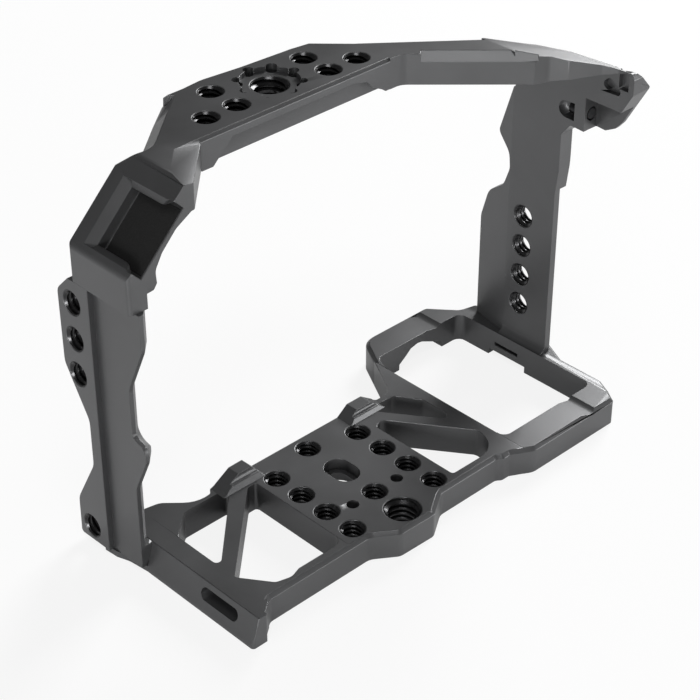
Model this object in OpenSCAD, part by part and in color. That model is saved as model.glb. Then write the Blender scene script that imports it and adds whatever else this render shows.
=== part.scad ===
// Camera cage: a milled light alloy frame that wraps a mirrorless camera body.
// X runs to the right as seen from behind the camera, Y forward to the lens, Z up.
// The origin is the centre of the large tripod thread at the underside of the base.

/* [Camera space] */
// Tripod axis to the inner face of the left upright
left_gap = 54; // [50:0.5:58]
// Tripod axis to the inner face of the right upright
right_gap = 79.2; // [76:0.4:84]
// Height of the top plate's upper face
top_z = 107.5; // [104:0.5:112]

/* [Base] */
// Thickness of the base and of every rail in it
base_t = 8.5; // [8:0.1:10]
// Near wall of the base in front of the tripod axis
base_near = 1.75; // [1.5:0.05:2.5]
// Far edge of the base beyond the tripod axis
base_far = 40.2; // [39:0.2:42]
// Half width of the centre plate
plate_half_w = 19.75; // [19.5:0.05:20.5]
// Length of the left truss bay
left_bay_l = 28.55; // [27:0.05:30]
// Length of the right truss bay
right_bay_l = 18.55; // [17.5:0.05:19.5]
// Width of the rail between the right bay and the battery opening
inner_rail_w = 3.1; // [2.5:0.1:4]
// Length of the battery opening
battery_l = 35.6; // [34:0.2:36.4]
// Near wall of the battery loop in front of the tripod axis
loop_near = 6.25; // [5.5:0.25:6.5]
// Far wall of the battery loop beyond the tripod axis
loop_far = 62.5; // [61:0.5:64]
// Bevel on the outer edges of the base
edge_bevel = 1; // [0.6:0.1:1.2]

/* [Threads] */
// Major diameter of the small tripod thread
small_thread_d = 6.35; // [6.35]
// Pitch of the small tripod thread
small_pitch = 1.27; // [1.27]
// Major diameter of the large tripod thread
large_thread_d = 9.525; // [9.525]
// Pitch of the large tripod thread
large_pitch = 1.5875; // [1.5875]
// Wall of a wire thread insert beyond the thread
insert_wall = 0.15; // [0.1:0.05:0.3]
// Clearance round a wire thread insert
insert_gap = 0.04; // [0.02:0.01:0.08]
// Side of the bevel at a hole's mouth
mouth_bevel = 0.15; // [0.1:0.05:0.3]
// Pitch of the small threads in the base
base_pitch = 9.45; // [9.2:0.05:10]
// Offset of the two thread columns in the base from the tripod axis
base_column_x = 14.6; // [14.2:0.1:15]
// Pitch of the threads in the right upright
right_pitch = 9.45; // [9.2:0.05:10]
// Pitch of the threads in the left upright
left_pitch = 10.15; // [9.8:0.05:10.4]

/* [Uprights] */
// Thickness of the left upright's web
left_web_t = 3.8; // [3.4:0.1:4.6]
// How far the left upright's hole flange stands proud of its web
flange_step = 1.6; // [1.2:0.1:2]
// Thickness of the right upright
right_web_t = 4.6; // [4.2:0.1:5]
// Thickness of the lug ear and of the right shoulder's wall
ear_t = 6.5; // [6.3:0.1:7]
// Width of the right upright
right_web_w = 27.4; // [26:0.2:29]

/* [Top] */
// Thickness of the top plate
plate_t = 8.5; // [8:0.1:9.5]
// Near edge of the top plate beyond the tripod axis
plate_near = 43; // [42.5:0.1:43.5]
// Depth of the bridge bar's near face
bridge_h = 8.6; // [8:0.1:9.4]
// Bevel along the bridge bar
bridge_bevel = 2.3; // [2:0.1:2.8]
// Radius of the ring of anti-twist pockets
pocket_r = 8; // [7.8:0.05:8.2]
// Diameter of an anti-twist pocket
pocket_d = 2.8; // [2.6:0.1:3]
// Depth of an anti-twist pocket
pocket_h = 3.6; // [3:0.1:4]
// Depth of the round recess round the large top thread
recess_h = 1.3; // [1:0.1:1.6]

/* [Cold shoe] */
// Width of the accessory shoe's slot
shoe_w = 18.7; // [18.6:0.05:18.9]
// Height of the accessory shoe's slot
shoe_h = 2.1; // [2:0.05:2.3]
// Width of the gap between the shoe's lips
shoe_gap = 15.2; // [13:0.1:15.6]
// Thickness of the shoe's lips
lip_t = 1.7; // [1.5:0.1:2]
// Length of the shoe's slot
shoe_l = 13.4; // [13:0.1:14.2]
// Thickness of the shoe's floor plate
floor_t = 0.8; // [0.6:0.1:1]

/* [Lug lock] */
// Major diameter of the lug lock screw
lock_d = 4; // [4]
// Length of the lug lock screw
lock_l = 5; // [4.4:0.2:5]
// Clearance between moving parts
run_gap = 0.08; // [0.04:0.01:0.1]

/* [Hidden] */

// Overrun of every cut beyond the face it leaves
over = 1;
// Overrun of a bevel's cutter, small enough for the corners that it passes
bevel_over = 0.1;
// Angle of one step along a rounded corner
arc_step = 12;
$fn = 48;

body_colour = [0.27, 0.28, 0.29];
floor_colour = [0.08, 0.08, 0.09];
insert_colour = [0.62, 0.62, 0.62];
lock_colour = [0.12, 0.12, 0.13];
pad_colour = [0.85, 0.84, 0.8];

// Outline helpers
// A corner point is [x, y, radius]; the functions turn a list of them into a smooth outline.
function xy(p) = [p[0], p[1]];
function unit(v) = v / norm(v);
function turn(a) = a > 180 ? a - 360 : a < -180 ? a + 360 : a;
function corner(a, p, b) =
    p[2] <= 0 ? [xy(p)] :
    let (
        to_a = unit(xy(a) - xy(p)),
        to_b = unit(xy(b) - xy(p)),
        half = acos(max(-1, min(1, to_a * to_b))) / 2,
        centre = xy(p) + unit(to_a + to_b) * p[2] / sin(half),
        first = xy(p) + to_a * p[2] / tan(half) - centre,
        last = xy(p) + to_b * p[2] / tan(half) - centre,
        start = atan2(first.y, first.x),
        sweep = turn(atan2(last.y, last.x) - start),
        steps = max(1, ceil(abs(sweep) / arc_step))
    )
    [for (i = [0:steps]) centre + p[2] * [cos(start + sweep * i / steps), sin(start + sweep * i / steps)]];
function closed(pts) = [
    for (i = [0:len(pts) - 1])
        each corner(pts[(i + len(pts) - 1) % len(pts)], pts[i], pts[(i + 1) % len(pts)])
];
function open_run(pts) = [
    xy(pts[0]),
    for (i = [1:1:len(pts) - 2]) each corner(pts[i - 1], pts[i], pts[i + 1]),
    xy(pts[len(pts) - 1])
];
// Corner points placed by shares of a length, a depth and a radius
function placed(shares, at, span, r) = [for (s = shares) [at.x + s[0] * span.x, at.y + s[1] * span.y, s[2] * r]];

// A solid that stands on an outline in the XY plane
module slab(pts, low, high) {
    translate([0, 0, low]) linear_extrude(high - low) polygon(closed(pts));
}
// A solid that runs along X, its outline given as Y and Z
module along_x(pts, from, to) {
    translate([from, 0, 0]) rotate([90, 0, 90]) linear_extrude(to - from) polygon(closed(pts));
}
// A solid that runs along Y, its outline given as X and Z
module along_y(pts, from, to) {
    translate([0, to, 0]) rotate([90, 0, 0]) linear_extrude(to - from) polygon(closed(pts));
}

// A bevel cutter swept along an open outline that keeps the solid on its left
function side(a, b) = let (d = unit(b - a)) [-d.y, d.x];
function mitre(path, i) =
    let (
        last = len(path) - 1,
        before = i == 0 ? side(path[0], path[1]) : side(path[i - 1], path[i]),
        after = i == last ? side(path[last - 1], path[last]) : side(path[i], path[i + 1]),
        m = unit(before + after)
    )
    m / (m * before);
function stretched(path) = let (last = len(path) - 1) [
    path[0] - over * unit(path[1] - path[0]),
    for (i = [1:1:last - 1]) path[i],
    path[last] + over * unit(path[last] - path[last - 1])
];
module bevel_cut(run, z, size, up = 1) {
    path = stretched(run);
    ring = [[-bevel_over, -size - bevel_over], [size + bevel_over, bevel_over], [-bevel_over, bevel_over]];
    points = [
        for (i = [0:len(path) - 1]) for (c = ring)
            let (p = path[i] + mitre(path, i) * c[0]) [p.x, p.y, z + up * c[1]]
    ];
    last = 3 * (len(path) - 1);
    walls = [for (i = [0:len(path) - 2]) for (k = [0:2])
        let (a = 3 * i + k, b = 3 * i + (k + 1) % 3) each [[a, b, a + 3], [b, b + 3, a + 3]]];
    ends = [[2, 1, 0], [last, last + 1, last + 2]];
    faces = concat(walls, ends);
    polyhedron(points, up > 0 ? [for (f = faces) [f[2], f[1], f[0]]] : faces);
}

// Thread holes
small_bore_d = small_thread_d + 2 * insert_wall;
large_bore_d = large_thread_d + 2 * insert_wall;
small_minor_d = small_thread_d - 1.0825 * small_pitch;
large_minor_d = large_thread_d - 1.0825 * large_pitch;
function bore_d(large) = large ? large_bore_d : small_bore_d;
// A through bore with a bevelled mouth, its mouth at the origin, running down
module thread_bore(depth, large = false) {
    d = bore_d(large);
    translate([0, 0, -depth - over]) cylinder(h = depth + 2 * over, d = d);
    translate([0, 0, -mouth_bevel]) cylinder(h = mouth_bevel + over, d1 = d, d2 = d + 2 * (mouth_bevel + over));
    translate([0, 0, -depth - over]) cylinder(h = mouth_bevel + over, d1 = d + 2 * (mouth_bevel + over), d2 = d);
}
// A wire thread insert, seated below the mouth's bevel, running down
module insert(depth, large = false) {
    outer = bore_d(large) - 2 * insert_gap;
    inner = large ? large_minor_d : small_minor_d;
    translate([0, 0, -depth + mouth_bevel]) difference() {
        cylinder(h = depth - 2 * mouth_bevel, d = outer);
        translate([0, 0, -over]) cylinder(h = depth + 2 * over, d = inner);
    }
}

// Places of the base threads
column_first_y = 3.15;
middle_near_y = 10.1;
middle_far_y = 35.4;
base_small_places = [
    for (s = [-1, 1]) for (i = [0:3]) [s * base_column_x, column_first_y + i * base_pitch],
    [0, middle_near_y],
    [0, middle_far_y]
];
pin_x = 7.9;
pin_d = 3.4;
pin_h = 5;
slot_y = 22.4;
slot_run = 3;
slot_d = 5.2;
slot_step_d = 7.4;
slot_step_h = 3.5;
slot_head_d = 11;
slot_head_h = 4.5;

// Base outline
corner_r = 2;
base_near_y = -base_near;
loop_near_y = -loop_near;
left_bay_x = -plate_half_w - left_bay_l;
right_bay_x = plate_half_w + right_bay_l;
truss_lap = 1;
right_truss_x = right_bay_x + truss_lap;
battery_x0 = right_bay_x + inner_rail_w;
battery_x1 = battery_x0 + battery_l;
far_rail_w = 9.6;
near_rail_w = 9.15;
far_rail_y = loop_far - far_rail_w;
near_rail_y = loop_near_y + near_rail_w;
opening_r = 3;
end_rail_t = 8;
free_rail_t = 7.6;
left_end_x = left_bay_x - end_rail_t;
right_end_x = battery_x1 + free_rail_t;
notch_h = 1.6;
rail_step = 3.8;

// Height of a straight edge at a given place along it
function at_x(a, b, x) = a.y + (b.y - a.y) * (x - a.x) / (b.x - a.x);

left_toe = [left_bay_x - 0.36 * end_rail_t, -0.78 * loop_near];
left_heel = [left_bay_x + 0.16 * end_rail_t, base_near_y];
left_wing = [-left_gap, base_far + 0.693 * far_rail_w];
left_wing_root = [left_bay_x + 0.66 * end_rail_t, base_far + 0.48 * far_rail_w];
right_heel = [right_bay_x - 0.04 * right_bay_l, -0.46 * loop_near];
right_toe = [battery_x0 + 0.06 * battery_l, loop_near_y];
slant_root = [right_bay_x - 0.17 * right_bay_l, base_far + 0.08 * far_rail_w];
slant_top = [battery_x0 + 0.154 * battery_l, loop_far];
near_tail = [battery_x1 - 0.028 * battery_l, loop_near_y];
near_tail_end = [battery_x1 + 0.2 * end_rail_t, -0.35 * loop_near];
far_tail = [battery_x1 - 0.14 * battery_l, loop_far];
far_tail_end = [battery_x1 + 0.2 * end_rail_t, loop_far - 0.8 * far_rail_w];

joint_left_near = [left_bay_x, at_x(left_toe, left_heel, left_bay_x)];
joint_left_far = [left_bay_x, at_x(left_wing, left_wing_root, left_bay_x)];
joint_right_near = [right_truss_x, at_x(right_heel, right_toe, right_truss_x)];
joint_right_far = [right_truss_x, at_x(slant_root, slant_top, right_truss_x)];
joint_inner_near = [battery_x0, at_x(right_heel, right_toe, battery_x0)];
joint_inner_far = [battery_x0, at_x(slant_root, slant_top, battery_x0)];
joint_end_near = [battery_x1, at_x(near_tail, near_tail_end, battery_x1)];
joint_end_far = [battery_x1, at_x(far_tail, far_tail_end, battery_x1)];

function rounded(p, r) = [p.x, p.y, r];

// Near edges run to the right and far edges to the left, so the solid lies on their left
bump_shares = [[-0.67, 0, 2], [-0.34, 1, 1.5], [0.25, 1.06, 1.2], [0.62, 0, 2]];
centre_near = open_run([
    [-plate_half_w, base_near_y],
    for (s = bump_shares) [s[0] * plate_half_w, base_near_y - s[1] * (loop_near - base_near), s[2] * corner_r],
    [plate_half_w, base_near_y]
]);
centre_far = [[plate_half_w, base_far], [-plate_half_w, base_far]];
left_near = open_run([joint_left_near, rounded(left_heel, corner_r), [-plate_half_w, base_near_y]]);
left_notch_shares = [[0.36, 0, 0.25], [0.405, 1, 0.5], [0.58, 1, 4]];
left_far = open_run([
    [-plate_half_w, base_far],
    for (s = left_notch_shares) [-plate_half_w - s[0] * left_bay_l, base_far - s[1] * notch_h, s[2] * corner_r],
    rounded(left_wing_root, 2 * corner_r),
    joint_left_far
]);
right_near = open_run([
    [plate_half_w, base_near_y],
    [plate_half_w + 0.74 * right_bay_l, base_near_y, corner_r],
    [plate_half_w + 0.82 * right_bay_l, right_heel.y, corner_r],
    rounded(right_heel, corner_r / 2),
    joint_right_near
]);
right_notch_shares = [[0.71, 1, 0.75], [0.47, 1, 0.5], [0.42, 0, 0.5]];
right_far = open_run([
    joint_right_far,
    rounded(slant_root, corner_r),
    for (s = right_notch_shares) [plate_half_w + s[0] * right_bay_l, base_far - s[1] * notch_h, s[2] * corner_r],
    [plate_half_w, base_far]
]);
inner_near = [joint_right_near, joint_inner_near];
inner_far = [joint_inner_far, joint_right_far];
loop_near_run = open_run([
    joint_inner_near, rounded(right_toe, 2 * corner_r), rounded(near_tail, 0.7 * corner_r), joint_end_near
]);
loop_far_run = open_run([
    joint_end_far, rounded(far_tail, 1.5 * corner_r), rounded(slant_top, 3 * corner_r), joint_inner_far
]);
end_waist_x = right_end_x - rail_step;
end_run = open_run([
    joint_end_near,
    rounded(near_tail_end, 0.7 * corner_r),
    [end_waist_x, 0.06 * base_far, corner_r],
    [end_waist_x, 0.42 * base_far, corner_r],
    [right_end_x, 0.62 * base_far, corner_r],
    [right_end_x, loop_far - 0.95 * far_rail_w, corner_r],
    rounded(far_tail_end, 2 * corner_r),
    joint_end_far
]);

module base_blank(near, far) {
    difference() {
        linear_extrude(base_t) polygon(concat(near, far));
        bevel_cut(near, base_t, edge_bevel);
        bevel_cut(near, 0, edge_bevel / 2, -1);
    }
}

module base_centre_plate() {
    color(body_colour) difference() {
        base_blank(centre_near, centre_far);
        for (p = base_small_places) translate([p.x, p.y, base_t]) thread_bore(base_t);
        translate([0, 0, base_t]) thread_bore(base_t, true);
        for (s = [-1, 1]) translate([s * pin_x, middle_near_y, base_t - pin_h])
            cylinder(h = pin_h + over, d = pin_d);
        translate([0, slot_y, -over]) slot_cut(slot_d, base_t + 2 * over);
        translate([0, slot_y, base_t - slot_step_h]) slot_cut(slot_step_d, slot_step_h + over);
        translate([0, slot_y, -over]) slot_cut(slot_head_d, slot_head_h + over);
    }
}
module slot_cut(d, h, run = slot_run) {
    for (s = [-1, 1]) translate([0, s * run / 2, 0]) cylinder(h = h, d = d);
    translate([-d / 2, -run / 2, 0]) cube([d, run, h]);
}

// Trusses
left_bay_shares = [
    [0, 0.032, 1], [0.527, 0.032, 0.7], [0.64, 0.006, 1], [0.786, 0.034, 0.7],
    [1, 0.24, 0.3], [0.1, 0.843, 0.5], [0, 0.843, 0.3]
];
left_triangle_shares = [[0.2, 0.93, 0.3], [0.744, 0.93, 0.5], [1, 0.771, 0.7], [1, 0.368, 0.4]];
right_bay_shares = [[0, 0.03, 0.3], [0, 0.888, 0.8], [1, 0.25, 0.3], [1, 0.03, 2.7]];
right_triangle_shares = [
    [0.98, 0.413, 0.5], [0.261, 0.87, 0.3], [0.418, 0.92, 0.3], [0.736, 0.915, 0.7], [0.98, 0.739, 0.7]
];
module left_truss() {
    color(body_colour) difference() {
        base_blank(left_near, left_far);
        for (s = [left_bay_shares, left_triangle_shares])
            slab(placed(s, [-plate_half_w, 0], [-left_bay_l, base_far], opening_r), -over, base_t + over);
    }
}
module right_truss() {
    color(body_colour) difference() {
        base_blank(right_near, right_far);
        for (s = [right_bay_shares, right_triangle_shares])
            slab(placed(s, [plate_half_w, 0], [right_bay_l, base_far], opening_r), -over, base_t + over);
    }
}

// Left end rail
web_near_y = 33.9;
strap_near_y = 0.9;
strap_l = 13.4;
strap_z = 3.5;
strap_h = 3.4;
strap_depth = 4.2;
skirt_h = 1.3;
left_end_points = [
    joint_left_near,
    left_toe,
    [left_toe.x - 0.05 * end_rail_t, left_toe.y - 0.16 * loop_near, corner_r / 4],
    [left_end_x, left_toe.y - 0.16 * loop_near, corner_r / 2],
    [left_end_x, web_near_y],
    [-left_gap, web_near_y],
    [left_wing.x, left_wing.y],
    joint_left_far
];
left_end_outline = open_run([for (p = left_end_points) [p.x, p.y, len(p) > 2 ? p[2] : 0]]);
module left_end_rail() {
    color(body_colour) difference() {
        union() {
            linear_extrude(base_t) polygon(left_end_outline);
            slab(placed(foot_shares, [-left_gap, web_near_y], [left_end_x + left_gap, web_w], corner_r), 0, foot_h);
        }
        along_y([
            [-left_gap, base_t + over, 0], [-left_gap, base_t, 0], [left_end_x, skirt_h, 0],
            [left_end_x - over, skirt_h, 0], [left_end_x - over, base_t + over, 0]
        ], -loop_far, web_near_y);
        translate([left_end_x - over, strap_near_y + strap_l / 2, strap_z + strap_h / 2])
            rotate([0, 90, 0]) slot_cut(strap_h, strap_depth + over, strap_l - strap_h);
    }
}

// Battery loop
battery_mouth_r = 2.6;
rail_groove_x = battery_x0 + 0.62 * battery_l;
rail_groove_l = 0.152 * battery_l;
rail_groove_d = 0.9;
arch_shares = [[0.3, -0.1], [0.303, 0.22], [0.38, 0.45], [0.43, 0.63], [0.506, 0.7], [0.556, 0.67], [0.784, 0.235], [0.8, -0.1]];
battery_opening = [
    [battery_x0, near_rail_y, battery_mouth_r],
    [battery_x1, near_rail_y, battery_mouth_r],
    [battery_x1, far_rail_y, battery_mouth_r],
    [battery_x0 + 0.05 * battery_l, far_rail_y, battery_mouth_r],
    [battery_x0, far_rail_y - 0.6 * far_rail_w, battery_mouth_r]
];
module rail_groove(from, to) {
    along_y([
        [rail_groove_x, base_t, 0], [rail_groove_x + 0.7 * rail_groove_l, base_t - rail_groove_d, 0],
        [rail_groove_x + rail_groove_l, base_t, 0], [rail_groove_x + rail_groove_l, base_t + over, 0],
        [rail_groove_x, base_t + over, 0]
    ], from, to);
}
module battery_inner_rail() {
    color(body_colour) base_blank(inner_near, inner_far);
}
module battery_near_rail() {
    color(body_colour) difference() {
        base_blank(loop_near_run, [[battery_x1, near_rail_y + battery_mouth_r], [battery_x0, near_rail_y + battery_mouth_r]]);
        slab(battery_opening, -over, base_t + over);
        rail_groove(loop_near_y - over, near_rail_y + over);
    }
}
module battery_far_rail() {
    color(body_colour) difference() {
        linear_extrude(base_t) polygon(concat(loop_far_run,
            [[battery_x0, near_rail_y + 2 * battery_mouth_r], [battery_x1, near_rail_y + 2 * battery_mouth_r]]));
        bevel_cut(loop_far_run, base_t, edge_bevel);
        slab(battery_opening, -over, base_t + over);
        translate([battery_x0 - over, near_rail_y, -over])
            cube([battery_l + 2 * over, far_rail_y - far_rail_w - near_rail_y, base_t + 2 * over]);
        rail_groove(far_rail_y - over, loop_far + over);
        along_y([for (s = arch_shares) [battery_x0 + s[0] * battery_l, s[1] * base_t, 0]], far_rail_y - over, loop_far + over);
    }
}
end_slit_z = 4;
end_slit_h = 1;
module battery_end_rail() {
    color(body_colour) difference() {
        linear_extrude(base_t) polygon(end_run);
        bevel_cut(end_run, base_t, edge_bevel);
        translate([battery_x1 - over, 0.68 * base_far, -over])
            cube([0.3 * end_rail_t + over, 0.34 * base_far, 0.22 * base_t + over]);
        translate([battery_x1 - over, 0.75 * base_far, end_slit_z])
            cube([2 * end_rail_t, 0.22 * base_far, end_slit_h]);
    }
}

// Camera stops
stop_l = 14.2;
stop_h = 3.7;
stop_w = 5.6;
left_stop_x = -30;
right_stop_x = 15.2;
right_stop_l = 12.8;
right_stop_h = 2.7;
left_stop_shares = [[0, 0], [0.08, 0.11], [0.45, 0.97], [0.77, 1], [1, 0]];
right_stop_shares = [[0, 0], [0.28, 1], [0.69, 1], [1, 0]];
stop_ledge_shares = [[0, 1], [0.71, 1], [0.71, 0.49], [0.89, 0.49], [1, 0]];
module camera_stop(shares, x, l, h) {
    color(body_colour) intersection() {
        along_y([for (s = shares) [x + s[0] * l, base_t + s[1] * h, 0]], base_far - stop_w, base_far);
        along_x(concat([[base_far, base_t, 0]],
            [for (s = stop_ledge_shares) [base_far - s[0] * stop_w, base_t + s[1] * h, 0]]), x, x + l);
    }
}
module left_camera_stop() {
    camera_stop(left_stop_shares, left_stop_x, stop_l, stop_h);
}
module right_camera_stop() {
    camera_stop(right_stop_shares, right_stop_x, right_stop_l, right_stop_h);
}

// Left upright
web_w = 11.3;
flange_w = 11.2;
shoulder_z = 79.6;
flange_y = web_near_y + web_w;
web_bevel = 2.6;
foot_h = 0.023 * shoulder_z;
foot_shares = [[-0.2, 0, 0], [1, 0, 0], [1.3, 0.54, 2], [1.83, 0.88, 1], [2, 1.25, 0], [0, 1.25, 0], [-0.2, 1, 0]];
web_shares = [
    [0.03, 0.023, 0], [0, 0.05, 0], [0, 0.339, 3], [-0.407, 0.465, 1.5], [-0.407, 0.519, 1.5],
    [0, 0.534, 0.75], [0, 0.7085, 3], [-0.522, 0.873, 2.5], [-0.522, 1, 0], [1, 1, 0], [1, 0.023, 0]
];
web_edge_shares = [
    [-0.522, 1, 0], [-0.522, 0.873, 2.5], [0, 0.7085, 3], [0, 0.534, 0.75], [-0.407, 0.519, 1.5],
    [-0.407, 0.465, 1.5], [0, 0.339, 3], [0, 0.12, 0]
];
flange_shares = [
    [0, 0.023, 0], [1, 0.023, 0.5], [1, 0.163, 3], [0.32, 0.339, 2.5], [0.32, 0.509, 2.5],
    [1.04, 0.681, 2], [1.06, 0.942, 1.5], [0.66, 1, 0], [0, 1, 0]
];
left_holes_y = 51.7;
left_top_hole_z = 73.1;
left_low_hole_z = 6.25;
left_outer_x = -left_gap - left_web_t - flange_step;
left_places = concat([for (i = [0:2]) left_top_hole_z - i * left_pitch], [left_low_hole_z]);
flange_t = left_web_t + flange_step;
module left_upright() {
    color(body_colour) difference() {
        along_x(placed(web_shares, [web_near_y, 0], [web_w, shoulder_z], corner_r), -left_gap - left_web_t, -left_gap);
        rotate([90, 0, 90])
            bevel_cut(open_run(placed(web_edge_shares, [web_near_y, 0], [web_w, shoulder_z], corner_r)), -left_gap, web_bevel);
    }
}
module left_hole_flange() {
    color(body_colour) difference() {
        along_x(placed(flange_shares, [flange_y, 0], [flange_w, shoulder_z], corner_r), left_outer_x, -left_gap);
        for (z = left_places) translate([-left_gap, left_holes_y, z]) rotate([0, 90, 0]) thread_bore(flange_t);
    }
}

// A half space above a plane that leans towards an azimuth
reach = 60;
module above(p, azimuth, tilt) {
    translate(p) rotate([0, 0, azimuth]) rotate([0, tilt, 0]) translate([-reach, -reach, 0])
        cube([2 * reach, 2 * reach, reach]);
}

// Cold shoe shoulder
shoulder_near_y = 29.2;
shoulder_far_y = 51;
shoulder_x = -26;
shoulder_l = 33.4;
shoulder_h = top_z - shoulder_z;
shoulder_w = shoulder_far_y - shoulder_near_y;
face_x = -51.5;
face_z = 97.25;
shoe_y1 = 44.1;
shoe_y0 = shoe_y1 - shoe_l;
lip_round = 2.2;
rim_bevel = 1.4;
plate_side = 0.6;
floor_w = shoe_w - 2 * plate_side;
floor_l = shoe_y1 - shoulder_near_y - 2 * plate_side;
shoulder_profile_shares = [
    [1, 0, 0], [1, 0.351, 1.4], [0.458, 1, 1.4], [0, 1, 0], [0, 0.735, 0], [0.42, 0.715, 0.5],
    [0.56, 0.615, 1.5], [0.69, 0.455, 1.5], [0.755, 0.32, 1.5], [0.75, 0.2, 0.5], [0.78, 0.15, 0.3], [0.838, 0.14, 0], [0.838, 0, 0]
];
shoulder_plan_shares = [
    [1, 0, 0.5], [0.392, 0, 0.5], [0, 0.596, 0], [0, 1.408, 0], [0.344, 0.963, 2], [0.494, 1, 1], [1, 1, 0.5]
];
function shoulder_plan_point(s) = [shoulder_x - s[0] * shoulder_l, shoulder_near_y + s[1] * shoulder_w, s[2] * corner_r];
far_left_bevel = 3.4;
far_left_end = [-45.5, 51.5];
near_facet_p = [-39.6, 36.6, top_z];
near_facet_azimuth = -43.7;
near_facet_tilt = 11.1;
module shoe_frame() {
    translate([face_x, 0, face_z]) rotate([0, -45, 0]) children();
}
module cold_shoe_shoulder() {
    color(body_colour) difference() {
        intersection() {
            along_y([for (s = shoulder_profile_shares)
                [shoulder_x - s[0] * shoulder_l, shoulder_z + s[1] * shoulder_h, s[2] * corner_r]],
                shoulder_near_y - over, shoulder_far_y + shoulder_w);
            slab([for (s = shoulder_plan_shares) shoulder_plan_point(s)], shoulder_z - over, top_z + over);
        }
        bevel_cut(far_left_run, top_z, far_left_bevel);
        intersection() {
            above(near_facet_p, near_facet_azimuth, near_facet_tilt);
            above([shoulder_x, plate_near, top_z], -90, 45);
        }
        shoe_frame() {
            translate([-shoe_w / 2, shoe_y0 - reach, -lip_t - shoe_h]) cube([shoe_w, shoe_l + reach, shoe_h]);
            slab([
                [shoe_gap / 2, shoe_y1, 0], [-shoe_gap / 2, shoe_y1, 0],
                [-shoe_gap / 2, shoe_y0 + lip_round, lip_round], [-shoe_w / 2, shoe_y0, 0],
                [-shoe_w / 2, shoe_y0 - lip_round, 0], [shoe_w / 2, shoe_y0 - lip_round, 0],
                [shoe_w / 2, shoe_y0, 0], [shoe_gap / 2, shoe_y0 + lip_round, lip_round]
            ], -lip_t - over / 2, over);
            along_y([
                [shoe_gap / 2, -rim_bevel, 0], [shoe_gap / 2 + rim_bevel + over, over, 0],
                [-shoe_gap / 2 - rim_bevel - over, over, 0], [-shoe_gap / 2, -rim_bevel, 0]
            ], shoe_y0 - lip_round, shoe_y1);
            along_x([
                [shoe_y1, -rim_bevel, 0], [shoe_y1 + 2 * rim_bevel + 2 * over, over, 0], [shoe_y1, over, 0]
            ], -shoe_gap / 2 - rim_bevel, shoe_gap / 2 + rim_bevel);
            translate([-floor_w / 2, shoulder_near_y + plate_side, -lip_t - shoe_h - floor_t])
                cube([floor_w, floor_l, floor_t + over]);
        }
    }
}
module cold_shoe_floor_plate() {
    color(floor_colour) shoe_frame()
        translate([-floor_w / 2, shoulder_near_y + plate_side, -lip_t - shoe_h - floor_t])
            cube([floor_w, floor_l, floor_t]);
}

// Top plate
bridge_x0 = 36;
near_bevel = 0.8;
plate_near_y = plate_near - near_bevel;
plate_far_bevel = 1;
relief_w = 2.3;
plate_w = 24;
plate_l = bridge_x0 - shoulder_x;
plate_near_run = [[shoulder_x, plate_near_y], [bridge_x0, plate_near_y]];
bridge_far_a = [27.7, 62.7];
bridge_far_b = [61.9, 34.2];
plate_far_shares = [[0.869, 0.9, 1.5], [0.774, 0.933, 1.5], [0.515, 0.975, 4], [0.324, 1.03, 4], [0.226, 1.005, 0], [0.13, 1.005, 1]];
shoulder_corner = shoulder_plan_point(shoulder_plan_shares[3]);
plate_far_run = open_run([
    [bridge_x0, at_x(bridge_far_a, bridge_far_b, bridge_x0)],
    for (s = plate_far_shares) [shoulder_x + s[0] * plate_l, plate_near_y + s[1] * plate_w, s[2] * corner_r],
    xy(shoulder_corner)
]);
far_left_run = open_run([
    rounded(plate_far_run[len(plate_far_run) - 2], 0),
    rounded(xy(shoulder_corner), 0),
    shoulder_plan_point(shoulder_plan_shares[4]),
    rounded(far_left_end, 0)
]);
relief_shares = [
    [0.03, -0.2], [0.08, 0.15], [0.16, 0.68], [0.21, 0.68], [0.8, 0.68], [0.87, 0.55], [0.9, 0.32], [0.97, 0.05], [1, -0.2]
];
top_large_place = [6.3, 54.2];
recess_r = 7.7;
top_first_place = [-17.7, 49.9];
top_pitch = 9.6;
top_right_place = [20.8, 48.5];
top_small_places = [
    top_first_place,
    top_first_place + [top_pitch, 0],
    top_first_place + [top_pitch, top_pitch],
    top_right_place,
    top_right_place + [0, 0.95 * top_pitch],
    top_right_place + [top_pitch, 0]
];
pocket_count = 8;
module top_plate() {
    color(body_colour) difference() {
        translate([0, 0, top_z - plate_t]) linear_extrude(plate_t) polygon(concat(plate_near_run, plate_far_run));
        bevel_cut(plate_near_run, top_z, near_bevel);
        bevel_cut([for (i = [0:len(plate_far_run) - 2]) plate_far_run[i]], top_z, plate_far_bevel);
        bevel_cut(far_left_run, top_z, far_left_bevel);
        along_y([for (s = relief_shares) [shoulder_x + s[0] * plate_l, top_z - plate_t + s[1] * plate_t, 0]],
            plate_near_y - over, plate_near_y + relief_w);
        for (p = top_small_places) translate([p.x, p.y, top_z]) thread_bore(plate_t);
        translate([top_large_place.x, top_large_place.y, top_z]) {
            translate([0, 0, -recess_h]) {
                thread_bore(plate_t - recess_h, true);
                cylinder(h = recess_h + over, r = recess_r);
            }
            for (i = [0:pocket_count - 1]) rotate([0, 0, i * 360 / pocket_count])
                translate([pocket_r, 0, -pocket_h]) cylinder(h = pocket_h + over, d = pocket_d);
        }
    }
}

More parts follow.
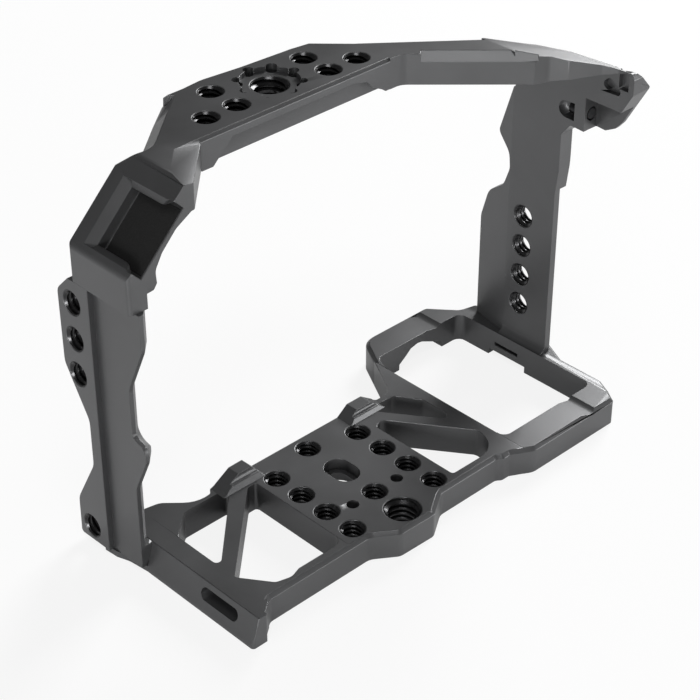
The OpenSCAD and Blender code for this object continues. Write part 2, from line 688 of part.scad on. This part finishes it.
// Bridge
bridge_near_a = [39.9, plate_near_y];
bridge_near_b = [61.3, 21.7];
bridge_x1 = bridge_near_b.x;
bridge_near_run = open_run([
    [bridge_x0, plate_near_y], rounded(bridge_near_a, 2 * corner_r), xy(bridge_near_b)
]);
bridge_bevel_share = 0.2;
bridge_bevel_start = xy(bridge_near_a) + bridge_bevel_share * (xy(bridge_near_b) - xy(bridge_near_a));
bridge_far_run = [
    [bridge_x1, at_x(bridge_far_a, bridge_far_b, bridge_x1)],
    [bridge_x0, at_x(bridge_far_a, bridge_far_b, bridge_x0)]
];
module top_bridge() {
    color(body_colour) difference() {
        translate([0, 0, top_z - bridge_h]) linear_extrude(bridge_h) polygon(concat(bridge_near_run, bridge_far_run));
        bevel_cut([bridge_bevel_start, xy(bridge_near_b)], top_z, bridge_bevel);
        bevel_cut(bridge_far_run, top_z, plate_far_bevel);
    }
}

// Right upright
right_near_y = 22.1;
ear_far_y = 21.2;
upright_top_z = 86.4;
upright_bevel = 2.4;
upright_shares = [
    [0, 0, 0], [0, 0.66, 3], [-0.033, 0.76, 3], [-0.033, 1, 0], [0.6, 1, 0], [0.8, 0.8, 1], [0.62, 0.74, 2], [0.6, 0.68, 2],
    [0.69, 0.6, 3], [0.92, 0.54, 3], [1.03, 0.42, 3], [1.03, 0, 0]
];
right_holes_y = 32.8;
right_low_hole_z = 20.3;
right_places = [for (i = [0:3]) right_low_hole_z + i * right_pitch];
slant_y = 38.3;
slant_in = 2.3;
foot_r = 2.2;
module right_upright() {
    upright_h = upright_top_z - base_t;
    color(body_colour) difference() {
        union() {
            along_x(placed(upright_shares, [right_near_y, base_t], [right_web_w, upright_h], corner_r),
                right_gap, right_gap + right_web_t);
            along_y([
                for (p = corner([right_gap - 2 * foot_r, base_t], [right_gap, base_t, foot_r],
                    [right_gap, base_t + 2 * foot_r])) [p.x, p.y, 0],
                [right_gap + right_web_t / 4, base_t + foot_r, 0],
                [right_gap + right_web_t / 4, base_t, 0]
            ], right_near_y, slant_y);
        }
        slab([
            [right_gap - over, slant_y, 0], [right_gap, slant_y, 0],
            [right_gap + slant_in, right_near_y + 1.04 * right_web_w, 0],
            [right_gap - over, right_near_y + 1.04 * right_web_w, 0]
        ], base_t - over, upright_top_z + over);
        rotate([90, 0, 90])
            bevel_cut([[right_near_y, base_t + 0.69 * upright_h], [right_near_y, base_t]], right_gap + right_web_t, upright_bevel);
        for (z = right_places) translate([right_gap, right_holes_y, z]) rotate([0, -90, 0]) thread_bore(right_web_t);
        tool_groove();
    }
}

// Right shoulder and lug ear
ear_outer_x = right_gap + ear_t;
ear_top_z = 104.3;
ear_w = 22.4;
shoulder_run = 26.5;
ear_h = 25.8;
shoulder_low_z = top_z - bridge_h;
slope_p = [62.9, 31.5, top_z];
slope_azimuth = 23;
slope_tilt = 22.5;
near_slope_p = [62, 24.1, top_z];
near_slope_azimuth = -17.6;
near_slope_tilt = 9.5;
corner_p = [80, 12, 101.6];
corner_azimuth = 12;
corner_tilt = 48;
right_plan_shares = [[0.168, -0.11, 1], [0.36, -0.17, 1], [0.51, -0.33, 1], [0.85, -0.55, 1], [0.96, -0.69, 1], [1, -0.84, 0]];
under_a = [18, 98.95];
under_b = [-2.8, 104.2];
right_block_l = right_gap - bridge_x1;
right_near_run = open_run([
    xy(bridge_near_b),
    for (s = right_plan_shares) [bridge_x1 + s[0] * right_block_l, bridge_near_b.y + s[1] * shoulder_run, s[2] * corner_r]
]);
back_wall_shares = [[0, 0], [0.64, 0], [0.56, 0.31], [0.4, 0.7], [0.2, 1], [0, 1]];
module outer_slopes() {
    above(slope_p, slope_azimuth, slope_tilt);
    above(near_slope_p, near_slope_azimuth, near_slope_tilt);
    above(corner_p, corner_azimuth, corner_tilt);
}
module right_shoulder() {
    color(body_colour) difference() {
        union() {
            translate([0, 0, shoulder_low_z]) linear_extrude(bridge_h) polygon(concat(right_near_run, [
                [right_gap, ear_far_y + 0.2 * shoulder_run],
                [bridge_x1 + 0.5 * right_block_l, ear_far_y + 0.3 * shoulder_run],
                bridge_far_run[0]
            ]));
            along_x([for (s = back_wall_shares)
                [ear_far_y + s[0] * shoulder_run, upright_top_z + s[1] * (top_z - upright_top_z), 0]], right_gap, ear_outer_x);
        }
        bevel_cut([right_near_run[0], right_near_run[1]], top_z, bridge_bevel);
        along_x([[under_a.x, under_a.y, 0], [under_b.x, under_b.y, 0], [under_b.x - reach, under_b.y, 0],
            [under_b.x - reach, under_a.y - reach, 0], [under_a.x, under_a.y - reach, 0]],
            bridge_x1 - over, right_gap);
        tool_groove();
        outer_slopes();
    }
}
ear_shares = [
    [0.188, 0.996, 0], [0.04, 0.973, 0.5], [0, 0.911, 0.5], [0, 0.748, 1], [0.192, 0.446, 1], [0.29, 0.291, 1],
    [0.384, 0.194, 1], [0.527, 0.128, 1], [0.661, 0.132, 0.5], [0.875, 0.143, 0.5], [1, 0, 0], [1, 1, 0]
];
ear_pocket_shares = [[0.661, 0.608, 0.7], [0.344, 0.85, 0.7], [0.205, 0.764, 0.5], [0.152, 0.682, 0.5], [0.469, 0.67, 0.7]];
ear_pocket_d = 1.6;
lug_slot_y0 = -2;
lug_slot_y1 = 13.8;
lug_slot_top = 91.7;
lug_slot_depth = 5;
lock_axis_x = right_gap + 0.45 * ear_t;
lock_axis_z = 86.35;
channel_r = 2.4;
channel_l = 5.2;
lock_wall = 3.6;
channel_y0 = lug_slot_y1 + lock_wall;
channel_run = channel_l - channel_r;
end_notch_y = 0.6;
end_notch_w = 3;
end_notch_z = 98.2;
end_notch_d = 1.5;
module lug_ear() {
    color(body_colour) difference() {
        along_x(placed(ear_shares, [ear_far_y - ear_w, ear_top_z - ear_h], [ear_w, ear_h], corner_r),
            right_gap, ear_outer_x);
        lug_slot();
        along_x(placed(ear_pocket_shares, [ear_far_y - ear_w, ear_top_z - ear_h], [ear_w, ear_h], corner_r),
            right_gap - over, right_gap + ear_pocket_d);
        lock_axis(lug_slot_y1 - over) cylinder(h = lock_wall + 2 * over, d = lock_d);
        tool_groove();
        translate([right_gap - over, end_notch_y, end_notch_z]) cube([end_notch_d + over, end_notch_w, ear_h]);
        outer_slopes();
    }
}
module lug_slot() {
    translate([right_gap - over, lug_slot_y0, lug_slot_top - ear_h])
        cube([lug_slot_depth + over, lug_slot_y1 - lug_slot_y0, ear_h]);
}
// A groove for the key, open towards the camera and round at its far end
module tool_groove() {
    lock_axis(channel_y0) {
        cylinder(h = channel_run, r = channel_r);
        translate([right_gap - over - lock_axis_x, -channel_r, 0])
            cube([lock_axis_x - right_gap + over, 2 * channel_r, channel_run]);
    }
    translate([right_gap - over, channel_y0 + channel_run, lock_axis_z]) rotate([0, 90, 0])
        cylinder(h = lock_axis_x - right_gap + over, r = channel_r);
}
module lock_axis(y) {
    translate([lock_axis_x, y, lock_axis_z]) rotate([-90, 0, 0]) children();
}

// Wire thread inserts
module base_small_inserts() {
    color(insert_colour) for (p = base_small_places) translate([p.x, p.y, base_t]) insert(base_t);
}
module base_large_insert() {
    color(insert_colour) translate([0, 0, base_t]) insert(base_t, true);
}
module top_small_inserts() {
    color(insert_colour) for (p = top_small_places) translate([p.x, p.y, top_z]) insert(plate_t);
}
module top_large_insert() {
    color(insert_colour) translate([top_large_place.x, top_large_place.y, top_z - recess_h])
        insert(plate_t - recess_h, true);
}
module left_upright_inserts() {
    color(insert_colour) for (z = left_places)
        translate([-left_gap, left_holes_y, z]) rotate([0, 90, 0]) insert(flange_t);
}
module right_upright_inserts() {
    color(insert_colour) for (z = right_places)
        translate([right_gap, right_holes_y, z]) rotate([0, -90, 0]) insert(right_web_t);
}

// Lug lock
pad_d = 3;
pad_h = 1;
stem_d = 1.6;
stem_h = 1.5;
socket_w = 2;
socket_h = 2;
pad_y = lug_slot_y1 + run_gap;
screw_y = pad_y + pad_h + run_gap;
module lug_lock_screw() {
    color(lock_colour) lock_axis(screw_y) difference() {
        cylinder(h = lock_l, d = lock_d - 2 * run_gap);
        translate([0, 0, -over]) cylinder(h = stem_h + 2 * run_gap + over, d = stem_d + 2 * run_gap);
        translate([0, 0, lock_l - socket_h]) cylinder(h = socket_h + over, d = socket_w / cos(30), $fn = 6);
    }
}
module lug_lock_pad() {
    color(pad_colour) lock_axis(pad_y) {
        cylinder(h = pad_h, d = pad_d);
        translate([0, 0, pad_h]) cylinder(h = stem_h, d = stem_d);
    }
}

base_centre_plate();
left_truss();
left_end_rail();
right_truss();
battery_inner_rail();
battery_near_rail();
battery_far_rail();
battery_end_rail();
left_camera_stop();
right_camera_stop();
left_upright();
left_hole_flange();
right_upright();
cold_shoe_shoulder();
cold_shoe_floor_plate();
top_plate();
top_bridge();
right_shoulder();
lug_ear();
base_small_inserts();
base_large_insert();
top_small_inserts();
top_large_insert();
left_upright_inserts();
right_upright_inserts();
lug_lock_screw();
lug_lock_pad();
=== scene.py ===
import math

import bmesh
import bpy
from mathutils import Matrix, Vector
from mathutils.bvhtree import BVHTree


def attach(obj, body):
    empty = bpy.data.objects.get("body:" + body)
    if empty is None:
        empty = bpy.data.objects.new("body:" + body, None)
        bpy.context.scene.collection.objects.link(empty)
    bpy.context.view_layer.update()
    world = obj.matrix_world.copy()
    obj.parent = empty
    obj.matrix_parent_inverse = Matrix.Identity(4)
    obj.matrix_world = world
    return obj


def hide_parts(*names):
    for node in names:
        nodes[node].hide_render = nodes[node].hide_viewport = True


MM = 0.001
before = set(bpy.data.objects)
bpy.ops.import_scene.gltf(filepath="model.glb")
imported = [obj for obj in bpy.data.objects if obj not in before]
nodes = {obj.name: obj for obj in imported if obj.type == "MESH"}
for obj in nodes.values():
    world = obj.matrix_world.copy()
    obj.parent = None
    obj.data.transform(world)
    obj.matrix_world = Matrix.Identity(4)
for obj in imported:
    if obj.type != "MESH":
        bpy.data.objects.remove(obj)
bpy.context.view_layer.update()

# The milled frame's members, in the order that they follow round the cage
MILLED = [
    "base_centre_plate", "left_truss", "left_end_rail", "right_truss",
    "battery_inner_rail", "battery_near_rail", "battery_far_rail", "battery_end_rail",
    "left_camera_stop", "right_camera_stop",
    "left_upright", "left_hole_flange", "right_upright",
    "cold_shoe_shoulder", "top_plate", "top_bridge", "right_shoulder", "lug_ear",
]

# Merging a copied solid into whole flat faces
MERGE_GAP = 0.001 * MM
FLAT_ANGLE = math.radians(0.4)

# Broken edges, and the seams that stay flush
EDGE_ROUND = 0.16 * MM
EDGE_STEPS = 2
EDGE_ANGLE = math.radians(28)
EDGE_LEAST_LENGTH = 2.2  # times the rounding
SMOOTH_ANGLE = math.radians(32)
SEAM_GAP = 0.02 * MM
SEAM_PROBES = (0.25, 0.5, 0.75)

# Sizes of the tripod threads, as in the part's source
SMALL_D, SMALL_PITCH = 6.35 * MM, 1.27 * MM
LARGE_D, LARGE_PITCH = 9.525 * MM, 1.5875 * MM
MINOR_SHARE = 1.0825

# The thread's profile in shares of a pitch, and how its helix is turned
ROOT_FLAT_END = 1 / 8
CREST_START, CREST_END = 7 / 16, 11 / 16
TURN_STEPS = 32
SPARE_TURNS = 2
SPARE_PITCHES = 1.5
HELIX_MERGE_GAP = 0.002 * MM
MOUTH_CUT_GAP = 0.0001 * MM

# Where the noise turns from a finish's darker tone to its lighter one, and how deep its grain is
TONE_SPAN = (0.3, 0.7)
PEBBLE_SPAN = (0.35, 0.7)
FINE_GRAIN = 0.02 * MM
PEBBLE_GRAIN = 0.05 * MM


# ---------------------------------------------------------------- materials

def material(name):
    """An empty node material and its shader."""
    made = bpy.data.materials.new(name)
    made.use_nodes = True
    return made, made.node_tree.nodes["Principled BSDF"]


def add(made, kind, **values):
    """A node, with its plain settings."""
    node = made.node_tree.nodes.new(kind)
    for key, value in values.items():
        setattr(node, key, value)
    return node


def noise(made, scale, detail, roughness=0.5):
    """Noise on Object coordinates."""
    place = add(made, "ShaderNodeTexCoord")
    marks = add(made, "ShaderNodeTexNoise")
    marks.inputs["Scale"].default_value = scale
    marks.inputs["Detail"].default_value = detail
    marks.inputs["Roughness"].default_value = roughness
    made.node_tree.links.new(place.outputs["Object"], marks.inputs["Vector"])
    return marks


def toned(made, marks, target, tones, span=TONE_SPAN):
    """Feeds a shader's socket with two tones that change with the noise."""
    node = add(made, "ShaderNodeValToRGB")
    for stop, position, tone in zip(node.color_ramp.elements, span, tones):
        stop.position = position
        stop.color = (*tone, 1)
    made.node_tree.links.new(marks.outputs["Fac"], node.inputs["Fac"])
    made.node_tree.links.new(node.outputs["Color"], target)


def bump(made, shader, marks, strength, depth=FINE_GRAIN):
    """Raises the noise on the shader's normal."""
    node = add(made, "ShaderNodeBump")
    node.inputs["Strength"].default_value = strength
    node.inputs["Distance"].default_value = depth
    made.node_tree.links.new(marks.outputs["Fac"], node.inputs["Height"])
    made.node_tree.links.new(node.outputs["Normal"], shader.inputs["Normal"])


def blasted_alloy():
    """Bead-blasted alloy under dark graphite anodising: a fine even grain and faint cloudiness."""
    made, shader = material("blasted_graphite_alloy")
    cloud = noise(made, scale=60, detail=3)
    tones = (0.100, 0.101, 0.103), (0.114, 0.115, 0.118)
    toned(made, cloud, shader.inputs["Base Color"], tones)
    toned(made, cloud, shader.inputs["Roughness"], ((0.37,) * 3, (0.42,) * 3))
    shader.inputs["Metallic"].default_value = 0.7
    grain = noise(made, scale=4200, detail=2, roughness=0.6)
    bump(made, shader, grain, strength=0.16)
    return made


def thread_steel():
    """Dark glossy flanks of the threads, with faint marks of the tap."""
    made, shader = material("cut_thread_flanks")
    marks = noise(made, scale=2600, detail=2)
    tones = (0.035, 0.035, 0.036), (0.06, 0.06, 0.062)
    toned(made, marks, shader.inputs["Base Color"], tones)
    shader.inputs["Metallic"].default_value = 0.85
    shader.inputs["Roughness"].default_value = 0.24
    bump(made, shader, marks, strength=0.1)
    return made


def shoe_plate_black():
    """Satin black plate with a fine pebble texture."""
    made, shader = material("pebbled_black_plate")
    pebbles = noise(made, scale=2300, detail=3, roughness=0.65)
    tones = (0.003, 0.003, 0.003), (0.010, 0.010, 0.010)
    toned(made, pebbles, shader.inputs["Base Color"], tones, PEBBLE_SPAN)
    shader.inputs["Roughness"].default_value = 0.62
    bump(made, shader, pebbles, strength=0.5, depth=PEBBLE_GRAIN)
    return made


def oxide_steel():
    """Black oxide of the lock screw, a little oily."""
    made, shader = material("black_oxide_steel")
    film = noise(made, scale=900, detail=3)
    tones = (0.012, 0.012, 0.013), (0.028, 0.028, 0.03)
    toned(made, film, shader.inputs["Base Color"], tones)
    shader.inputs["Metallic"].default_value = 0.8
    shader.inputs["Roughness"].default_value = 0.36
    bump(made, shader, film, strength=0.08)
    return made


def pad_nylon():
    """Black nylon of the lock pad, which shows only as a dark end in the lug slot."""
    made, shader = material("matt_nylon")
    fleck = noise(made, scale=1500, detail=2)
    tones = (0.014, 0.014, 0.015), (0.024, 0.024, 0.025)
    toned(made, fleck, shader.inputs["Base Color"], tones)
    shader.inputs["Roughness"].default_value = 0.55
    shader.inputs["Subsurface Weight"].default_value = 0.1
    shader.inputs["Subsurface Scale"].default_value = 0.5 * MM
    bump(made, shader, fleck, strength=0.1)
    return made


ALLOY = blasted_alloy()
THREAD = thread_steel()
PLATE = shoe_plate_black()
OXIDE = oxide_steel()
NYLON = pad_nylon()


# ---------------------------------------------------------------- pieces

def piece(name, shape, finish, node, body="root"):
    """A finished piece of the object that stands for one node, riding on its body."""
    mesh = bpy.data.meshes.new(name)
    shape.to_mesh(mesh)
    shape.free()
    mesh.materials.append(finish)
    made = bpy.data.objects.new(name, mesh)
    bpy.context.scene.collection.objects.link(made)
    mesh.shade_smooth()
    mesh.set_sharp_from_angle(angle=SMOOTH_ANGLE)
    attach(made, body)
    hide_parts(node)
    return made


def merged_copy(node):
    """The node's solid as one merged mesh with whole flat faces."""
    shape = bmesh.new()
    shape.from_mesh(nodes[node].data)
    bmesh.ops.remove_doubles(shape, verts=shape.verts, dist=MERGE_GAP)
    bmesh.ops.dissolve_degenerate(shape, edges=shape.edges, dist=MERGE_GAP)
    bmesh.ops.dissolve_limit(
        shape, angle_limit=FLAT_ANGLE, verts=shape.verts, edges=shape.edges, delimit={"NORMAL"}
    )
    return shape


def on_a_seam(edge, neighbours):
    """True where the edge lies on the face of another member of the same milled piece."""
    a, b = edge.verts[0].co, edge.verts[1].co
    for share in SEAM_PROBES:
        point = a.lerp(b, share)
        for tree in neighbours:
            if tree.find_nearest(point, SEAM_GAP)[0] is not None:
                return True
    return False


def round_edges(shape, neighbours=()):
    """Breaks the outer edges as a tumbling drum does, but leaves the seams flush."""
    picked = [
        e for e in shape.edges
        if len(e.link_faces) == 2
        and e.calc_face_angle_signed(0) > EDGE_ANGLE
        and e.calc_length() > EDGE_LEAST_LENGTH * EDGE_ROUND
        and not on_a_seam(e, neighbours)
    ]
    bmesh.ops.bevel(
        shape, geom=picked, offset=EDGE_ROUND, offset_type="OFFSET", affect="EDGES",
        segments=EDGE_STEPS, profile=0.5, material=-1, clamp_overlap=False,
    )


def milled_members():
    """The milled frame: every member with broken edges, flush where two members meet."""
    copies = {name: merged_copy(name) for name in MILLED}
    trees = {name: BVHTree.FromBMesh(shape) for name, shape in copies.items()}
    for name, shape in copies.items():
        round_edges(shape, [tree for other, tree in trees.items() if other != name])
        made = piece("milled_" + name, shape, ALLOY, name)
        weigh = made.modifiers.new("flat_faces", "WEIGHTED_NORMAL")
        weigh.keep_sharp = True


def helix(depth, crest, root, pitch):
    """The open thread surface about the z axis, cut off at its mouths at 0 and -depth."""
    shape = bmesh.new()
    outline = [
        (root, 0), (root, ROOT_FLAT_END * pitch), (crest, CREST_START * pitch),
        (crest, CREST_END * pitch), (root, pitch),
    ]
    chain = [shape.verts.new((r, 0, z)) for r, z in outline]
    edges = [shape.edges.new(pair) for pair in zip(chain, chain[1:])]
    turns = math.ceil(depth / pitch) + SPARE_TURNS
    bmesh.ops.translate(shape, verts=shape.verts, vec=(0, 0, -depth - SPARE_PITCHES * pitch))
    bmesh.ops.spin(
        shape, geom=chain + edges, cent=(0, 0, 0), axis=(0, 0, 1),
        dvec=(0, 0, pitch / TURN_STEPS), angle=2 * math.pi * turns, steps=TURN_STEPS * turns,
    )
    bmesh.ops.remove_doubles(shape, verts=shape.verts, dist=HELIX_MERGE_GAP)
    for height, side in ((0, 1), (-depth, -1)):
        bmesh.ops.bisect_plane(
            shape, geom=shape.verts[:] + shape.edges[:] + shape.faces[:], dist=MOUTH_CUT_GAP,
            plane_co=(0, 0, height), plane_no=(0, 0, side), clear_outer=True,
        )
    return shape


def push_out(vert, radius):
    """Moves a vertex away from the thread's axis as far as the radius, never towards it."""
    spread = radius / math.hypot(vert.co.x, vert.co.y)
    if spread > 1:
        vert.co.x *= spread
        vert.co.y *= spread


def thread_ring(top, out, depth, major_d, pitch, outer_d):
    """One threaded insert from its mouth at top, running against the direction out."""
    crest, root = (major_d - MINOR_SHARE * pitch) / 2, major_d / 2
    shape = helix(depth, crest, root, pitch)
    for vert in shape.verts:
        # a 45 degree countersink at both mouths
        push_out(vert, root - min(-vert.co.z, depth + vert.co.z))
    rims = [e for e in shape.edges if len(e.link_faces) == 1]
    grown = bmesh.ops.extrude_edge_only(shape, edges=rims)["geom"]
    for vert in (g for g in grown if isinstance(g, bmesh.types.BMVert)):
        push_out(vert, outer_d / 2)
    outer_rims = [
        g for g in grown if isinstance(g, bmesh.types.BMEdge) and len(g.link_faces) == 1
    ]
    bmesh.ops.bridge_loops(shape, edges=outer_rims)
    bmesh.ops.recalc_face_normals(shape, faces=shape.faces)
    turned = Vector((0, 0, 1)).rotation_difference(Vector(out)).to_matrix().to_4x4()
    bmesh.ops.transform(shape, matrix=Matrix.Translation(top) @ turned, verts=shape.verts)
    return shape


def islands(node):
    """The boxes of a node's separate solids, as (lowest, highest) corners."""
    shape = bmesh.new()
    shape.from_mesh(nodes[node].data)
    bmesh.ops.remove_doubles(shape, verts=shape.verts, dist=MERGE_GAP)
    left, boxes = set(shape.verts), []
    while left:
        front, group = [left.pop()], []
        while front:
            vert = front.pop()
            group.append(vert.co.copy())
            for edge in vert.link_edges:
                other = edge.other_vert(vert)
                if other in left:
                    left.remove(other)
                    front.append(other)
        boxes.append((
            Vector(min(c[i] for c in group) for i in range(3)),
            Vector(max(c[i] for c in group) for i in range(3)),
        ))
    shape.free()
    return sorted(boxes, key=lambda b: tuple(b[0]))


def inserts(node, out, major_d, pitch):
    """All the threads of one node as one piece, where its plain rings are."""
    gather = bpy.data.meshes.new("gather")
    shape = bmesh.new()
    out = Vector(out)
    along = max(range(3), key=lambda i: abs(out[i]))
    across = (along + 1) % 3
    for low, high in islands(node):
        depth, outer_d = high[along] - low[along], high[across] - low[across]
        top = (low + high) / 2 + out * depth / 2
        ring = thread_ring(top, out, depth, major_d, pitch, outer_d)
        ring.to_mesh(gather)
        ring.free()
        shape.from_mesh(gather)
    bpy.data.meshes.remove(gather)
    piece("threads_" + node, shape, THREAD, node)


milled_members()
inserts("base_small_inserts", (0, 0, 1), SMALL_D, SMALL_PITCH)
inserts("base_large_insert", (0, 0, 1), LARGE_D, LARGE_PITCH)
inserts("top_small_inserts", (0, 0, 1), SMALL_D, SMALL_PITCH)
inserts("top_large_insert", (0, 0, 1), LARGE_D, LARGE_PITCH)
inserts("left_upright_inserts", (1, 0, 0), SMALL_D, SMALL_PITCH)
inserts("right_upright_inserts", (-1, 0, 0), SMALL_D, SMALL_PITCH)

plate_copy = merged_copy("cold_shoe_floor_plate")
piece("shoe_floor_plate", plate_copy, PLATE, "cold_shoe_floor_plate")
screw_copy = merged_copy("lug_lock_screw")
round_edges(screw_copy)
piece("lock_screw", screw_copy, OXIDE, "lug_lock_screw", body="lock_screw")
pad_copy = merged_copy("lug_lock_pad")
round_edges(pad_copy)
piece("lock_pad", pad_copy, NYLON, "lug_lock_pad", body="lock_pad")


# ---------------------------------------------------------------- floor, light and camera

FLOOR_SIZE = 6.0
FLOOR_SHADE = 0.9
FLOOR_ROUGHNESS = 0.9
FLOOR_CAMERA_GLOW = 0.85
FLOOR_GLOSS_GLOW = 0.3
SKY_LEVEL = 0.12

# Softboxes: place and size in metres, power in watts; all look at one point of the cage
LAMP_AIM = Vector((10, 25, 50)) * MM
LAMPS = {
    "far_right": ((1.3, 0.42, 0.8), (0.6, 0.6), 24),
    "near_right": ((0.95, -0.95, 0.14), (0.7, 0.3), 8),
    "overhead": ((-0.3, -0.4, 1.2), (0.45, 0.45), 4),
    "near_left": ((-1.1, -0.6, 0.15), (0.6, 0.35), 11),
}

# The photograph's viewpoint, solved from where the threads appear in it
CAMERA_PLACE = Vector((-280.0, -271.6, 320.4)) * MM
CAMERA_RIGHT = Vector((0.7205, -0.6935, 0))
CAMERA_FORWARD = Vector((0.5747, 0.5971, -0.5595))
CAMERA_SENSOR, CAMERA_LENS = 36, 100.64
CAMERA_CLIP = 0.01, 20


def pale_floor():
    """A plain white floor that keeps a soft shadow."""
    shape = bmesh.new()
    bmesh.ops.create_grid(shape, x_segments=1, y_segments=1, size=FLOOR_SIZE / 2)
    mesh = bpy.data.meshes.new("floor")
    shape.to_mesh(mesh)
    shape.free()
    floor = bpy.data.objects.new("floor", mesh)
    bpy.context.scene.collection.objects.link(floor)
    made, shader = material("pale_floor")
    links = made.node_tree.links
    shader.inputs["Base Color"].default_value = (FLOOR_SHADE, FLOOR_SHADE, FLOOR_SHADE, 1)
    shader.inputs["Roughness"].default_value = FLOOR_ROUGHNESS
    glow = add(made, "ShaderNodeEmission")
    glow.inputs["Strength"].default_value = 1.0
    path = add(made, "ShaderNodeLightPath")
    gloss = add(made, "ShaderNodeMath", operation="MULTIPLY")
    links.new(path.outputs["Is Glossy Ray"], gloss.inputs[0])
    gloss.inputs[1].default_value = FLOOR_GLOSS_GLOW
    share = add(made, "ShaderNodeMath", operation="MULTIPLY_ADD")
    links.new(path.outputs["Is Camera Ray"], share.inputs[0])
    share.inputs[1].default_value = FLOOR_CAMERA_GLOW
    links.new(gloss.outputs[0], share.inputs[2])
    mix = add(made, "ShaderNodeMixShader")
    links.new(share.outputs[0], mix.inputs["Fac"])
    links.new(shader.outputs["BSDF"], mix.inputs[1])
    links.new(glow.outputs["Emission"], mix.inputs[2])
    links.new(mix.outputs["Shader"], made.node_tree.nodes["Material Output"].inputs["Surface"])
    mesh.materials.append(made)


def sky():
    """A white surround, at a plain level on the object and full white to the camera."""
    world = bpy.data.worlds.new("studio")
    bpy.context.scene.world = world
    world.use_nodes = True
    tree = world.node_tree
    back = tree.nodes["Background"]
    back.inputs["Color"].default_value = (1, 1, 1, 1)
    path = tree.nodes.new("ShaderNodeLightPath")
    level = tree.nodes.new("ShaderNodeMapRange")
    level.inputs["To Min"].default_value = SKY_LEVEL
    level.inputs["To Max"].default_value = 1.0
    tree.links.new(path.outputs["Is Camera Ray"], level.inputs["Value"])
    tree.links.new(level.outputs["Result"], back.inputs["Strength"])


def softbox(name, place, size, power):
    """A large soft lamp that looks at the cage."""
    lamp = bpy.data.lights.new(name, "AREA")
    lamp.shape = "RECTANGLE"
    lamp.size, lamp.size_y = size
    lamp.energy = power
    made = bpy.data.objects.new(name, lamp)
    made.location = place
    made.rotation_mode = "QUATERNION"
    made.rotation_quaternion = (LAMP_AIM - Vector(place)).to_track_quat("-Z", "Y")
    bpy.context.scene.collection.objects.link(made)


def photo_camera():
    """The camera at the photograph's own viewpoint."""
    data = bpy.data.cameras.new("camera")
    data.sensor_width, data.lens = CAMERA_SENSOR, CAMERA_LENS
    data.clip_start, data.clip_end = CAMERA_CLIP
    forward = CAMERA_FORWARD.normalized()
    up = CAMERA_RIGHT.cross(forward).normalized()
    right = forward.cross(up).normalized()
    turned = Matrix((right, up, -forward)).transposed()
    made = bpy.data.objects.new("camera", data)
    made.rotation_mode = "QUATERNION"
    made.rotation_quaternion = turned.to_quaternion()
    made.location = CAMERA_PLACE
    bpy.context.scene.collection.objects.link(made)
    bpy.context.scene.camera = made


pale_floor()
sky()
for lamp_name, (lamp_place, lamp_size, lamp_power) in LAMPS.items():
    softbox(lamp_name, lamp_place, lamp_size, lamp_power)
photo_camera()
bpy.context.scene.view_settings.view_transform = "Standard"
